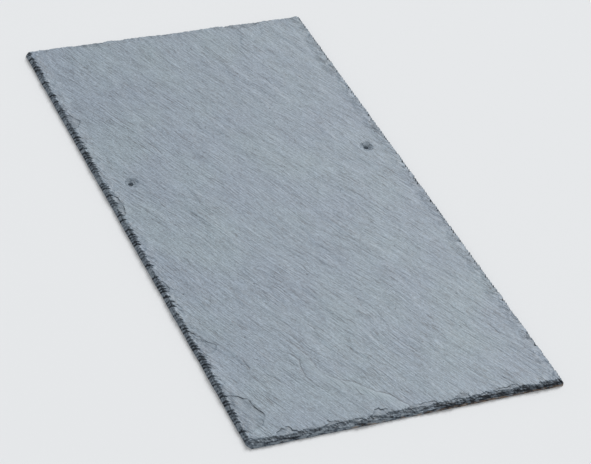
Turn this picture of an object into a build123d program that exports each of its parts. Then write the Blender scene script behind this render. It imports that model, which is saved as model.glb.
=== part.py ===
from build123d import *

import math
import os
import random

# A roofing slate: one sheet split from the block, dressed on its four edges and holed for two
# nails. It lies on its bed, the flat underside. X runs across it, Y up the roof from the tail to
# the head, and Z out of the face that the weather sees. The origin is the middle of the bed.
# All sizes are in millimetres.

# The sheet
LENGTH = 600.0
WIDTH = 300.0
THICKNESS = 5.5

# Laying, which settles where the nails go
HEAD_LAP = 100.0
NAIL_ABOVE_HEAD_BELOW = 15.0  # from the head of the slate two courses below, up to the nails
NAIL_IN_FROM_SIDE = 28.0

# The nail holes are punched from the bed, so the face spalls into a crater round each one
NAIL_HOLE_DIAMETER = 5.0
CRATER_DIAMETER = 14.0
CRATER_DEPTH = 2.0
CRATER_BULGE = 0.5  # how far the crater's wall hollows below a plain cone

# The dressed edge, from the bed up: the knife shears a low band clean, the stone above it breaks
# away steeply with one hollow for each tooth of the knife, and then on a flatter slope to the face
SHEARED_HEIGHT = 1.2
SHEARED_LEAN = 0.2
STEEP_HEIGHT = 3.3  # how high the steep break reaches
STEEP_LEAN = 1.0  # how far it leans in
FACE_IN_FROM_TAIL = 4.2  # where the flatter slope meets the face
FACE_IN_FROM_HEAD = 2.6
FACE_IN_FROM_LEFT = 3.0
FACE_IN_FROM_RIGHT = 2.0
FACE_IN_AT_NIP = 0.62  # at a nipped corner, as a share of what the two edges beside it add up to
STROKE_PITCH = 3.8  # from one tooth mark of the knife to the next
STROKE_HOLLOW = 0.55  # how deep a tooth mark is
HOLLOW_VARIATION = 0.22  # how much deeper or shallower one may be
STEEP_WANDER = 0.3  # how far the ridges between the tooth marks wander in and out
FACE_WANDER = 0.75  # how far the edge of the face wanders
STROKE_SEED = 7

# What the corners lost when they were dressed: (along the tail or head, along the side)
NIP_TAIL_LEFT = (3.0, 5.5)
NIP_TAIL_RIGHT = (2.0, 2.5)
NIP_HEAD_RIGHT = (3.5, 2.5)
NIP_HEAD_LEFT = (2.5, 3.5)

# Flakes that came off the face with the dressing: (middle of the flake along its edge, measured
# from the tail or from the left, half its length, how far it reaches in, how deep it is)
SIDE_FLAKES_LEFT = (
    (37.0, 26.0, 25.0, 0.45),
    (131.0, 13.0, 17.0, 0.6),
    (212.0, 9.0, 7.0, 0.4),
    (334.0, 17.0, 9.0, 0.5),
    (472.0, 12.0, 13.0, 0.4),
)
SIDE_FLAKES_RIGHT = (
    (58.0, 11.0, 6.0, 0.4),
    (176.0, 8.0, 5.0, 0.5),
    (391.0, 15.0, 10.0, 0.45),
    (538.0, 10.0, 7.0, 0.4),
)
TAIL_FLAKES = (
    (38.0, 11.0, 12.0, 0.7),
    (79.0, 9.0, 10.0, 0.5),
    (126.0, 12.0, 12.5, 0.7),
    (163.0, 15.0, 9.5, 0.5),
    (201.0, 9.0, 10.5, 0.6),
    (247.0, 16.0, 8.5, 0.45),
)
HEAD_FLAKES = (
    (66.0, 16.0, 9.0, 0.5),
    (149.0, 10.0, 7.0, 0.4),
    (232.0, 20.0, 12.0, 0.6),
)

CUT_CLEAR = 1.0  # how far a cutter stands out of what it cuts


def bed_corners():
    """The corners of the bed, each nipped into two, counter-clockwise from the tail's left."""
    left, right = -WIDTH / 2, WIDTH / 2
    tail, head = -LENGTH / 2, LENGTH / 2
    return [
        Vector(left + NIP_TAIL_LEFT[0], tail),
        Vector(right - NIP_TAIL_RIGHT[0], tail),
        Vector(right, tail + NIP_TAIL_RIGHT[1]),
        Vector(right, head - NIP_HEAD_RIGHT[1]),
        Vector(right - NIP_HEAD_RIGHT[0], head),
        Vector(left + NIP_HEAD_LEFT[0], head),
        Vector(left, head - NIP_HEAD_LEFT[1]),
        Vector(left, tail + NIP_TAIL_LEFT[1]),
    ]


def inward(start, end):
    """The level direction that points into the slate from the edge between two corners."""
    along = (end - start).normalized()
    return Vector(-along.Y, along.X)


def set_in(corners, leans):
    """The same corners after each edge has moved in by its own lean."""
    moved = []
    for index, corner in enumerate(corners):
        before = inward(corners[index - 1], corner)
        after = inward(corner, corners[(index + 1) % len(corners)])
        turn = before.dot(after)
        a = (leans[index - 1] - turn * leans[index]) / (1 - turn**2)
        b = (leans[index] - turn * leans[index - 1]) / (1 - turn**2)
        moved.append(corner + before * a + after * b)
    return moved


def face_leans():
    """How far in the face starts from each edge of the bed, the nipped corners among them."""
    ends = (FACE_IN_FROM_TAIL, FACE_IN_FROM_RIGHT, FACE_IN_FROM_HEAD, FACE_IN_FROM_LEFT)
    leans = []
    for lean, following in zip(ends, ends[1:] + ends[:1]):
        leans += [lean, FACE_IN_AT_NIP * (lean + following)]
    return leans


def outline(corners, height, counts, wander=0.0, hollow=0.0, variation=0.0):
    """A closed wire with a line or a hollow arc for each tooth mark, between ridges that wander."""
    chance = random.Random(STROKE_SEED)
    edges = []
    for index, count in enumerate(counts):
        start = corners[index]
        end = corners[(index + 1) % len(corners)]
        into = inward(start, end)
        moves = [0.0] + [wander * chance.uniform(-1, 1) for _ in range(count - 1)] + [0.0]
        ridges = [
            start + (end - start) * (step / count) + into * move + Vector(0, 0, height)
            for step, move in enumerate(moves)
        ]
        for a, b in zip(ridges, ridges[1:]):
            depth = hollow + variation * chance.uniform(-1, 1)
            if depth > 0:
                edges.append(ThreePointArc(a, (a + b) / 2 + into * depth, b))
            else:
                edges.append(Line(a, b))
    return Wire(edges)


def dressed_sheet():
    """The sheet with its sheared band, its steep toothed break and the slope up to the face."""
    bed = bed_corners()
    counts = [
        max(1, round((bed[(i + 1) % len(bed)] - bed[i]).length / STROKE_PITCH))
        for i in range(len(bed))
    ]
    sheared = set_in(bed, [SHEARED_LEAN] * len(bed))
    steep = set_in(bed, [STEEP_LEAN] * len(bed))
    face = set_in(bed, face_leans())
    outlines = [
        outline(bed, 0, counts),
        outline(sheared, SHEARED_HEIGHT, counts),
        outline(steep, STEEP_HEIGHT, counts, STEEP_WANDER, STROKE_HOLLOW, HOLLOW_VARIATION),
        outline(face, THICKNESS, counts, FACE_WANDER),
    ]
    return Solid.make_loft(outlines, ruled=True)


def flake(x, y, size_x, size_y, depth):
    """The cutter for one flake: it lifts an oval leaf off the face, down to a cleavage plane."""
    oval = Pos(x, y, THICKNESS - depth) * Ellipse(size_x, size_y)
    return extrude(oval, amount=depth + CUT_CLEAR)


def flakes():
    """The cutters for all the flakes, each centred on the edge that it broke from."""
    left, right = -WIDTH / 2, WIDTH / 2
    tail, head = -LENGTH / 2, LENGTH / 2
    cutters = []
    for side, rows in ((left, SIDE_FLAKES_LEFT), (right, SIDE_FLAKES_RIGHT)):
        cutters += [
            flake(side, tail + along, reach, half, depth)
            for along, half, reach, depth in rows
        ]
    for end, rows in ((tail, TAIL_FLAKES), (head, HEAD_FLAKES)):
        cutters += [
            flake(left + along, end, half, reach, depth)
            for along, half, reach, depth in rows
        ]
    return cutters


def nail_holes():
    """The cutters for the two punched holes, each with the crater that spalled off the face."""
    gauge = (LENGTH - HEAD_LAP) / 2
    head_below = LENGTH / 2 - gauge
    y = head_below + NAIL_ABOVE_HEAD_BELOW
    x = WIDTH / 2 - NAIL_IN_FROM_SIDE
    bore = NAIL_HOLE_DIAMETER / 2
    rim = CRATER_DIAMETER / 2
    floor = THICKNESS - CRATER_DEPTH
    mouth = (rim, THICKNESS)
    throat = (bore, floor)
    slope = math.hypot(rim - bore, CRATER_DEPTH)
    middle = (
        (rim + bore) / 2 + CRATER_BULGE * CRATER_DEPTH / slope,
        (THICKNESS + floor) / 2 - CRATER_BULGE * (rim - bore) / slope,
    )
    outline = [
        Line((0, -CUT_CLEAR), (bore, -CUT_CLEAR)),
        Line((bore, -CUT_CLEAR), throat),
        ThreePointArc(throat, middle, mouth),
        Line(mouth, (rim, THICKNESS + CUT_CLEAR)),
        Line((rim, THICKNESS + CUT_CLEAR), (0, THICKNESS + CUT_CLEAR)),
        Line((0, THICKNESS + CUT_CLEAR), (0, -CUT_CLEAR)),
    ]
    profile = Plane.XZ * make_face(outline)
    punched = revolve(profile, axis=Axis.Z)
    return [Pos(side * x, y) * punched for side in (-1, 1)]


def main():
    os.makedirs("parts", exist_ok=True)
    slate = dressed_sheet().cut(*flakes(), *nail_holes())
    slate.label = "slate"
    export_step(slate, "parts/slate.step")


main()
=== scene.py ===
"""A riven roofing slate, lying on its bed on a pale floor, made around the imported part.

The slate is one closed mesh. Its sheet, its split leaves and its punched holes are laid out here
in plan, a Geometry Nodes tree breaks its edges and roughens its face and bed, and a procedural
material gives the split stone its colour, its grain and its fine relief.
Points are in metres. The tables at the top and both trees work in millimetres.
"""

import functools
import math

import bpy
import numpy as np
from bpy.props import FloatProperty, FloatVectorProperty, IntProperty, PointerProperty
from mathutils import Euler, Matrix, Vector, noise
from mathutils.geometry import delaunay_2d_cdt


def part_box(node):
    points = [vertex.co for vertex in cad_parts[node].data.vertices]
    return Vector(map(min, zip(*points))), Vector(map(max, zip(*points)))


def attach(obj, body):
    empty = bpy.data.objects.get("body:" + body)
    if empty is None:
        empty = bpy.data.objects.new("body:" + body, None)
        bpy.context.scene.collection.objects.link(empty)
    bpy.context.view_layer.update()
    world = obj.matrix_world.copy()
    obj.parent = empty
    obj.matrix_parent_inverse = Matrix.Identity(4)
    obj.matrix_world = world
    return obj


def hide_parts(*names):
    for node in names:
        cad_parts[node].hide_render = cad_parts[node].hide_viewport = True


bl_info = {
    "name": "Riven roofing slate",
    "version": (1, 0, 0),
    "blender": (4, 5, 0),
    "location": "3D View > Sidebar > Slate",
    "description": "Builds a dressed and holed roofing slate with its finish, and a stage for it",
    "category": "Object",
}

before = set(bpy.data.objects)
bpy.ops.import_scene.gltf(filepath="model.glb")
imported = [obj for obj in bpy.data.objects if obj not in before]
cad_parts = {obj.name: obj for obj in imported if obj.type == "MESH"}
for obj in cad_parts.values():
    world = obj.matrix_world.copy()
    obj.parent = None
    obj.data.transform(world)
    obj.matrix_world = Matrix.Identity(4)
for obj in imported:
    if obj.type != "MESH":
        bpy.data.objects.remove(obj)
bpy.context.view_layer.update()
LOW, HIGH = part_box("slate")
WIDTH = HIGH.x - LOW.x
LENGTH = HIGH.y - LOW.y
THICKNESS = HIGH.z - LOW.z
MM = 0.001

# Where things are on the slate, in millimetres from the left end of its tail
NIP_TAIL_LEFT = (3.0, 5.5)  # along the tail or head, along the side
NIP_TAIL_RIGHT = (2.0, 2.5)
NIP_HEAD_RIGHT = (3.5, 2.5)
NIP_HEAD_LEFT = (2.5, 3.5)
NAIL_UP = 365.0  # from the tail to the nail holes
NAIL_IN = 28.0  # from each side
HOLE_RADIUS = 2.5
CRATER_RADIUS = 7.0
CRATER_DEPTH = 2.0

# Leaves that split off the face from an edge: (middle along the edge, half length, reach, depth)
LEFT_LEAVES = ((212.0, 9.0, 7.0, 0.4), (334.0, 17.0, 9.0, 0.5), (472.0, 12.0, 13.0, 0.4))
RIGHT_LEAVES = (
    (58.0, 11.0, 6.0, 0.4),
    (176.0, 8.0, 5.0, 0.5),
    (391.0, 15.0, 10.0, 0.45),
    (538.0, 10.0, 7.0, 0.4),
)
TAIL_LEAVES = (
    (38.0, 11.0, 12.0, 0.7),
    (79.0, 9.0, 10.0, 0.5),
    (126.0, 12.0, 12.5, 0.7),
    (163.0, 15.0, 9.5, 0.5),
    (201.0, 9.0, 10.5, 0.6),
    (247.0, 16.0, 8.5, 0.45),
)
HEAD_LEAVES = ((66.0, 16.0, 9.0, 0.5), (149.0, 10.0, 7.0, 0.4), (232.0, 20.0, 12.0, 0.6))

# The two larger leaves on the left edge, by their outlines
CORNER_LEAF = (
    (-6, 66), (6, 63), (14, 59), (20, 52), (23, 43), (26, 33), (24, 25), (17, 18), (7, 13), (-6, 11),
)
EDGE_LEAF = ((-6, 148), (5, 147), (10, 141), (15, 133), (20, 125), (15, 119), (7, 115), (-6, 114))
CORNER_LEAF_DEPTH = 0.45
EDGE_LEAF_DEPTH = 0.6

# The long ledge on the face: it starts faint at the first point and steps down to its right
LEDGE = (
    (80, 162), (82, 150), (90, 130), (92, 98), (95, 70), (101, 61), (109, 54), (119, 48), (125, 41),
    (131, 34), (140, 28), (145, 20), (151, 11), (155, -2),
)
LEDGE_DEPTH = 0.45
LEDGE_SLOPE = 3.5  # the run of its slope
LEDGE_FADE = 45.0  # how far beyond it the face has climbed back

# Hairlines where a thin leaf has lifted, painted dark as the shade of their small step, and small pits,
# painted dark as shade in a hollow
HAIRLINES = (
    ((265, 96), (270, 82), (272, 72)),
    ((279, 40), (284, 33), (290, 24)),
    ((277, 12), (279, 9), (281, 5)),
    ((246, 22), (252, 14), (255, 8)),
    ((108, 132), (112, 127), (113, 121)),
    ((12, 88), (17, 80), (20, 73)),
    ((139, 65), (142, 58), (143, 52), (148, 49)),
    ((145, 129), (148, 126), (151, 119)),
    ((167, 154), (167, 150), (169, 148)),
    ((218, 118), (220, 112), (222, 106)),
    ((184, 82), (187, 76), (189, 70)),
    ((84, 93), (81, 81), (80, 67), (84, 56)),
    ((35, 102), (36, 95), (37, 86)),
    ((47, 80), (53, 73), (58, 63)),
    ((115, 45), (117, 33), (121, 30)),
    ((212, 512), (219, 497), (222, 483)),
    ((61, 430), (70, 412), (73, 398)),
)
HAIRLINE_DEPTH = 0.16
PITS = ((48, 129), (84, 196), (17, 198), (136, 196), (258, 135), (203, 447), (71, 551))
PIT_DEPTH = 0.2
PIT_RADIUS = 0.8


def linear(red, green, blue):
    """A colour as seen on a screen, 0 to 255, as the linear light that a shader takes."""
    return tuple(
        share / 12.92 if share <= 0.04045 else ((share + 0.055) / 1.055) ** 2.4
        for share in (red / 255, green / 255, blue / 255)
    )


def a_length(name, description, millimetres):
    """A setting that holds a size."""
    return FloatProperty(
        name=name, description=description, default=millimetres * MM, precision=5, unit="LENGTH"
    )


def an_angle(name, description, degrees):
    """A setting that holds an angle."""
    return FloatProperty(
        name=name, description=description, default=math.radians(degrees), subtype="ANGLE"
    )


def a_colour(name, description, red, green, blue):
    """A setting that holds a colour, given as it is seen on a screen."""
    return FloatVectorProperty(
        name=name, description=description, default=linear(red, green, blue), subtype="COLOR"
    )


class SlateSheet(bpy.types.PropertyGroup):
    """The sizes of the sheet's relief and of its mesh."""

    sheared_height: a_length(
        "Sheared height", "Height of the band above the bed that the knife shears clean", 1.2
    )
    edge_lean: a_length(
        "Edge lean", "How far the broken edge leans in by the time it meets the face", 1.7
    )
    stroke_pitch: a_length(
        "Stroke pitch", "Distance from one tooth mark of the knife to the next", 3.8
    )
    stroke_hollow: a_length("Stroke hollow", "How deep a tooth mark is on the two sides", 1.2)
    end_hollow: a_length(
        "Stroke hollow, ends",
        "How deep a tooth mark is on the tail and the head, where layers split away",
        0.5,
    )
    raggedness: a_length(
        "Raggedness", "How far the broken edge wanders in and out between the strokes", 0.9
    )
    layering: a_length(
        "Layering", "How far one split layer stands out from the next on the two sides", 0.8
    )
    end_layering: a_length(
        "Layering, ends",
        "How far one split layer stands out from the next on the tail and the head",
        1.7,
    )
    left_reach: a_length(
        "Reach of the break, left", "How far in from the left side the face has broken away", 3.4
    )
    right_reach: a_length(
        "Reach of the break, right", "How far in from the right side the face has broken away", 2.0
    )
    tail_reach: a_length(
        "Reach of the break, tail", "How far in from the tail the face has broken away", 4.6
    )
    head_reach: a_length(
        "Reach of the break, head", "How far in from the head the face has broken away", 2.6
    )
    break_depth: a_length("Break depth", "How far below the face the break starts at the edge", 2.2)
    break_layer: a_length(
        "Break layer", "Thickness of the layers that the break steps down through", 0.55
    )
    swell: a_length("Swell", "Height of the broad, slow unevenness of the face", 0.35)
    ripple: a_length("Ripple", "Height of the ripples that run with the grain", 0.09)
    tread: a_length(
        "Tread", "Height of the low steps on the face, from one cleavage plane to the next", 0.10
    )
    grain_angle: an_angle(
        "Grain angle",
        "How far the grain turns away from the slate's length, to the left at the head",
        24,
    )
    finest: a_length(
        "Finest pitch",
        "Spacing of the mesh along the break; the rim has twice and the face four times it",
        0.6,
    )
    seed: IntProperty(
        name="Seed",
        description="Picks another slate of the same kind",
        default=3,
    )


class SlateFinish(bpy.types.PropertyGroup):
    """The colours of the stone, and the painted shade of its crevices."""

    face_colour: a_colour("Face", "The weathered face, where it is bluest", 119.5, 132.5, 146.5)
    face_colour_green: a_colour(
        "Greener patches", "The weathered face, where it turns to grey-green", 121.5, 136, 145.5
    )
    broken_colour: a_colour("Broken edge", "The rough stone of the broken edges", 108, 120, 132)
    # Painted shade: the colour that crevices, risers and tooth hollows of the broken edges are darkened
    # toward
    shadow_colour: a_colour("Crevices", "The bottom of the crevices and tooth marks", 36, 43, 51)
    bruise_colour: a_colour(
        "Bruised stone", "The pale stone that a blow leaves on a tooth or a lip", 156, 168, 178
    )
    rust_colour: a_colour("Rust", "The tan stain along the lower arris of the tail", 176, 152, 130)


class SlateStage(bpy.types.PropertyGroup):
    """The camera, the floor and the light."""

    azimuth: an_angle(
        "Azimuth",
        "Where the camera stands round the slate, from the tail, minus to the left",
        -28.0,
    )
    elevation: an_angle("Elevation", "How far the camera looks down", 37.3)
    roll: an_angle("Roll", "How far the camera is turned about its line of sight", 8.3)
    lens: FloatProperty(
        name="Lens",
        description="Focal length, in millimetres, on a sensor 36 mm wide",
        default=146.0,
    )
    margin: FloatProperty(
        name="Margin",
        description="Share of the picture left free at each side of the slate",
        default=0.03,
        subtype="FACTOR",
    )
    floor_colour: a_colour("Floor", "The plain pale floor", 226, 228, 230)
    sky_strength: FloatProperty(
        name="Sky",
        description="Strength of the even light from all round",
        default=0.50,
    )
    key_strength: FloatProperty(
        name="Key",
        description="Strength of the wide light from the right and beyond the head",
        default=3.05,
    )
    key_from: FloatVectorProperty(
        name="Key from",
        description="The direction that the key light comes from",
        default=(1.5, 1.6, 1.4),
        subtype="XYZ",
    )
    key_width: an_angle("Key width", "How wide the key light looks from the slate", 22)


class Wire:
    """A socket of a node tree, or the tree alone. Sums of wires and numbers add Math nodes."""

    def __init__(self, tree, socket=None):
        self.tree = tree
        self.socket = socket

    def node(self, kind, settings=None, sockets=None, output=0):
        """Adds a node, with its settings first and then the values or links of its sockets."""
        made = self.tree.nodes.new(kind)
        for name, value in (settings or {}).items():
            setattr(made, name, value)
        for key, value in (sockets or {}).items():
            if isinstance(value, Wire):
                self.tree.links.new(value.socket, made.inputs[key])
            else:
                made.inputs[key].default_value = value
        return Wire(self.tree, made.outputs[output])

    def other(self, output):
        """Another output of the node that this wire comes from."""
        return Wire(self.tree, self.socket.node.outputs[output])

    def maths(self, operation, *values):
        return self.node("ShaderNodeMath", {"operation": operation}, dict(enumerate(values)))

    def __add__(self, other):
        return self.maths("ADD", self, other)

    __radd__ = __add__

    def __sub__(self, other):
        return self.maths("SUBTRACT", self, other)

    def __rsub__(self, other):
        return self.maths("SUBTRACT", other, self)

    def __mul__(self, other):
        return self.maths("MULTIPLY", self, other)

    __rmul__ = __mul__

    def __truediv__(self, other):
        return self.maths("DIVIDE", self, other)

    def __pow__(self, other):
        return self.maths("POWER", self, other)

    def floor(self):
        return self.maths("FLOOR", self)

    def fraction(self):
        return self.maths("FRACT", self)

    def size(self):
        return self.maths("ABSOLUTE", self)

    def at_least(self, other):
        return self.maths("MAXIMUM", self, other)

    def at_most(self, other):
        return self.maths("MINIMUM", self, other)

    def rise(self, low, high):
        """0 below low and 1 above high, with a smooth climb between them."""
        return self.node(
            "ShaderNodeMapRange",
            {"interpolation_type": "SMOOTHSTEP"},
            {0: self, 1: low, 2: high},
        )

    def part(self, axis):
        """The x, y or z of a vector, as 0, 1 or 2."""
        return self.node("ShaderNodeSeparateXYZ", None, {0: self}, axis)

    def moved(self, *amounts):
        """A vector plus the x, y and z given."""
        return self.node(
            "ShaderNodeVectorMath", {"operation": "ADD"}, {0: self, 1: self.vector(*amounts)}
        )

    def vector(self, x, y, z):
        return self.node("ShaderNodeCombineXYZ", None, {0: x, 1: y, 2: z})

    def scaled(self, amount):
        """A vector or colour times a number."""
        return self.node(
            "ShaderNodeVectorMath", {"operation": "SCALE"}, {0: self, "Scale": amount}
        )

    def toward(self, other, share):
        """This colour, mixed by a share with another wire or with a plain colour."""
        target = other if isinstance(other, Wire) else (*other, 1.0)
        return self.node(
            "ShaderNodeMix", {"data_type": "RGBA"}, {0: share, 6: self, 7: target}, 2
        )

    def colour(self, value):
        """A plain colour to start a mix from."""
        return self.node("ShaderNodeMix", {"data_type": "RGBA"}, {0: 0.0, 6: (*value, 1.0)}, 2)

    def cloud(self, blob, seed=0.0, detail=2.0, roughness=0.5):
        """Noise from about 0 to 1 at this place, with blobs of the x, y and z sizes given."""
        return self.node(
            "ShaderNodeTexNoise",
            None,
            {
                "Vector": self.spread(blob, seed),
                "Scale": 1.0,
                "Detail": detail,
                "Roughness": roughness,
            },
        )

    def spread(self, blob, seed):
        """This place, counted in blobs of the sizes given and moved along by the seed."""
        offset = (seed, seed * 0.7, seed * 1.3)
        return self.node(
            "ShaderNodeVectorMath",
            {"operation": "MULTIPLY_ADD"},
            {
                0: self,
                1: tuple(1 / size for size in blob),
                2: self.vector(*offset) if isinstance(seed, Wire) else offset,
            },
        )

    def scoops(self, blob, seed):
        """Shallow scoops that meet in ridges: 0 in the middle of each, up to about 1 between them."""
        return self.node(
            "ShaderNodeTexVoronoi",
            {"voronoi_dimensions": "2D"},
            {"Vector": self.spread(blob, seed), "Scale": 1.0},
        )

    def chance(self, seed):
        """A number from 0 to 1 drawn afresh for each value of this one."""
        return self.node(
            "ShaderNodeTexWhiteNoise",
            {"noise_dimensions": "2D"},
            {"Vector": self.vector(self, seed, 0.0)},
        )


def largest(wires):
    """The largest of several wires."""
    return functools.reduce(Wire.at_least, wires)


def smooth_loop(corners, steps=6):
    """A closed curve through the corners, as points in metres from the left end of the tail."""
    knots = np.array(corners, float) * MM
    before, after, beyond = (np.roll(knots, shift, axis=0) for shift in (1, -1, -2))
    points = []
    for step in range(steps):
        t = step / steps
        points.append(
            0.5
            * (
                2 * knots
                + (after - before) * t
                + (2 * before - 5 * knots + 4 * after - beyond) * t**2
                + (3 * knots - before - 3 * after + beyond) * t**3
            )
        )
    return np.stack(points, axis=1).reshape(-1, 2)


OVAL_WAVER = 0.22  # how far an oval leaf's rim wavers, as a share of its radius
OVAL_BENDS = 2.2  # and how often


def oval_leaf(x, y, reach_x, reach_y, seed, steps=40):
    """The outline of a leaf that split off an edge: an oval whose rim wavers."""
    points = []
    for step in range(steps):
        turn = 2 * math.pi * step / steps
        across, up = math.cos(turn), math.sin(turn)
        waver = noise.fractal((OVAL_BENDS * across, OVAL_BENDS * up, seed), 0.6, 2.0, 3)
        radius = 1 + OVAL_WAVER * waver
        points.append((x + reach_x * radius * across, y + reach_y * radius * up))
    return np.array(points) * MM


SPLIT_ROUGH = 0.4  # how rough the stone is inside a leaf that split off along the grain
BLOWN_ROUGH = 0.9  # and inside one that a blow knocked off


def all_leaves():
    """Each leaf's outline, in metres from the left end of the tail, its depth and its roughness."""
    wide, long = WIDTH / MM, LENGTH / MM
    leaves = [
        (smooth_loop(CORNER_LEAF), CORNER_LEAF_DEPTH * MM, SPLIT_ROUGH),
        (smooth_loop(EDGE_LEAF), EDGE_LEAF_DEPTH * MM, SPLIT_ROUGH),
    ]
    for side, rows in ((0.0, LEFT_LEAVES), (wide, RIGHT_LEAVES)):
        for along, half, reach, depth in rows:
            leaves.append((oval_leaf(side, along, reach, half, along), depth * MM, BLOWN_ROUGH))
    for end, rows in ((0.0, TAIL_LEAVES), (long, HEAD_LEAVES)):
        for along, half, reach, depth in rows:
            leaves.append((oval_leaf(along, end, half, reach, along), depth * MM, BLOWN_ROUGH))
    return leaves


def in_box(points, line, room):
    """Which points lie in the box round a line with that much room."""
    return np.all((points > line.min(0) - room) & (points < line.max(0) + room), axis=1)


def inside_by(points, loop):
    """How far each point lies inside a closed loop, and minus that where it lies outside."""
    ahead = np.roll(loop, -1, axis=0)
    edge = ahead - loop
    gap = points[:, None] - loop
    share = np.clip((gap * edge).sum(2) / (edge**2).sum(1), 0, 1)
    nearest = np.linalg.norm(gap - share[..., None] * edge, axis=2).min(1)
    x, y = points[:, None, 0], points[:, None, 1]
    spans = (loop[:, 1] > y) != (ahead[:, 1] > y)
    rise = np.where(edge[:, 1] == 0, 1.0, edge[:, 1])
    crossed = spans & (x < loop[:, 0] + (y - loop[:, 1]) * edge[:, 0] / rise)
    return np.where(crossed.sum(1) % 2 == 1, nearest, -nearest)


LIP_WIDTH = 0.35 * MM  # the run of a lip from the leaf's floor up to the face
LIP_SHADE = 0.47 * MM  # half the width of the line along a lip
FULL_LIP = 0.45 * MM  # how deep a leaf is whose lip has its full line
LEAF_BENDS = ((5.5, 2.2), (1.9, 0.7))  # how a leaf's outline sways: each bend's size and reach
FLOOR_BENDS = 8.0  # the size of the bends in a leaf's floor
LIP_FOOT_SHADE_WIDTH = 1.5 * MM  # how far the painted shade at the foot of a lip spreads
LIP_FOOT_SHADE = 0.35  # how dark that painted shade is
ROUGH_SHADE = 0.22  # how dark the roughest stone inside a leaf is
NEARBY = 3 * MM  # how far round a leaf or a hairline its effect is worked out
LIGHT_FROM = np.array((0.35, 0.94))  # the way in plan that the light comes from, which sets which side of each lip is painted dark and which pale
STEP_BACK = 0.2 * MM  # how far apart two readings are that give a lip's direction


def smooth(share):
    """A share from 0 to 1 that starts and ends level."""
    share = np.clip(share, 0, 1)
    return share * share * (3 - 2 * share)


def ripples(points, size, seed):
    """Smooth noise from about -1 to 1 at each point, with blobs of the size given in millimetres."""
    return np.array([noise.noise((x, y, seed)) for x, y in (points / (size * MM)).tolist()])


def read_leaves(points, leaves):
    """At each point: how deep the leaves have cut, how rough that leaves the stone, and its lips.

    A lip is minus where painted shade lies along a step turned from the light and in the hollow at its
    foot, and plus where a painted highlight lies along a step turned to the light; the darker rough
    stone inside a leaf counts as minus too.
    """
    depth = np.zeros(len(points))
    rough = np.zeros(len(points))
    lip = np.zeros(len(points))
    for number, (loop, drop, roughness) in enumerate(leaves):
        near = in_box(points, loop, NEARBY)
        if near.any():
            spots = points[near]
            for size, reach in LEAF_BENDS:
                sway = [ripples(spots, size, number + offset) for offset in (0.3, 40.3)]
                spots = spots + np.stack(sway, axis=1) * reach * MM
            inside = inside_by(spots, loop)
            fallen = drop * np.clip(0.85 + ripples(spots, FLOOR_BENDS, number + 80.3), 0.2, 1.25)
            within = smooth(inside / LIP_WIDTH + 0.5)
            depth[near] = np.maximum(depth[near], fallen * within)
            rough[near] = np.maximum(rough[near], within * roughness)
            facing = (inside_by(spots + LIGHT_FROM * STEP_BACK, loop) - inside) / STEP_BACK
            line = np.exp(-((inside / LIP_SHADE) ** 2)) * np.minimum(1.0, fallen / FULL_LIP)
            # Painted light: the lip is painted pale where its step faces the light and dark where it
            # faces away
            line *= np.clip(facing * 1.1 - 0.15, -1, 1)
            line *= 1.33 - 0.95 * roughness
            # Painted shade in the hollow at the foot of the lip
            line -= np.where(inside > 0, LIP_FOOT_SHADE, 0.0) * np.exp(-inside / LIP_FOOT_SHADE_WIDTH) * fallen / drop
            line -= ROUGH_SHADE * roughness * within
            lip[near] = np.where(abs(line) > abs(lip[near]), line, lip[near])
    return depth, rough, lip


def beside(points, corners, reach):
    """Which points are near an open line, how far to its left each is, and how far along it."""
    line = np.array(corners, float) * MM
    start, edge = line[:-1], np.diff(line, axis=0)
    near = in_box(points, line, reach)
    gap = points[near, None] - start
    share = np.clip((gap * edge).sum(2) / (edge**2).sum(1), 0, 1)
    apart = gap - share[..., None] * edge
    distance = np.linalg.norm(apart, axis=2)
    closest = distance.argmin(1)
    rows = np.arange(len(closest))
    cross = edge[closest, 0] * apart[rows, closest, 1] - edge[closest, 1] * apart[rows, closest, 0]
    left_of = np.where(cross > 0, 1, -1) * distance[rows, closest]
    return near, left_of, (closest + share[rows, closest]) / len(edge)


LEDGE_SWAY = 1.1  # how far the ledge sways from its points
LEDGE_FOOT = 0.5  # where the painted shade lies, beyond the ledge's top
LEDGE_SHADE = 1.1  # how dark that painted shade is
LEDGE_HIGHLIGHT_WIDTH = 12.0  # how wide the band beside the ledge's top is that gets a painted highlight, paler and less streaked
LEDGE_HIGHLIGHT = 0.26  # how strong that painted highlight is
HAIRLINE_SWAY = 0.4  # how far a hairline sways from its points
HAIRLINE_SHADE = 0.9  # how dark the painted shade along it is


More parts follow.
